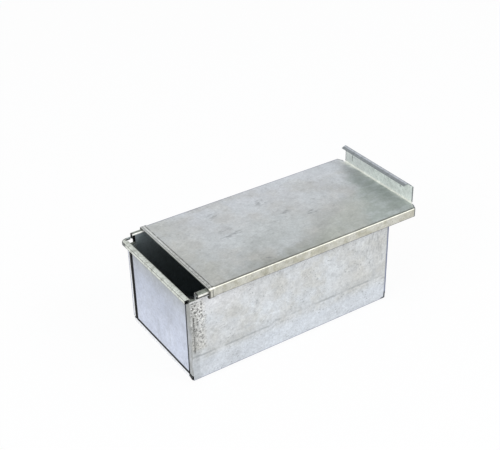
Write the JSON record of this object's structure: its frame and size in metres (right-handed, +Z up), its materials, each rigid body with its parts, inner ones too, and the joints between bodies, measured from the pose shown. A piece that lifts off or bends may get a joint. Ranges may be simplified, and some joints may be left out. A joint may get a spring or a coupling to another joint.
{
  "type": "pullman loaf pan",
  "caption": "Folded sheet-metal loaf pan with beaded rims and a flat lid that slides along the side beads by an upturned handle end.",
  "frame": {"origin": "middle of the pan's flat underside", "axes": "+X along the pan towards the lid's handle end, +Y to the pan's left seen from the open front end, +Z up"},
  "size_m": [0.2304, 0.1104, 0.103],
  "materials": {
    "pan_sheet": "dull tinned sheet with worn streaks",
    "end_sheet": "dull tinned sheet",
    "lid_sheet": "dull mottled sheet, worn bright at its folds"
  },
  "bodies": {
    "pan": {"pan_body": "pan_sheet", "front_end_panel": "end_sheet", "rear_end_panel": "end_sheet"},
    "lid": {"lid": "lid_sheet"}
  },
  "joints": [
    {"name": "lid_slide", "type": "slide", "parent": "pan", "child": "lid", "axis": [1, 0, 0], "range_m": [-0.019, 0.157]}
  ]
}
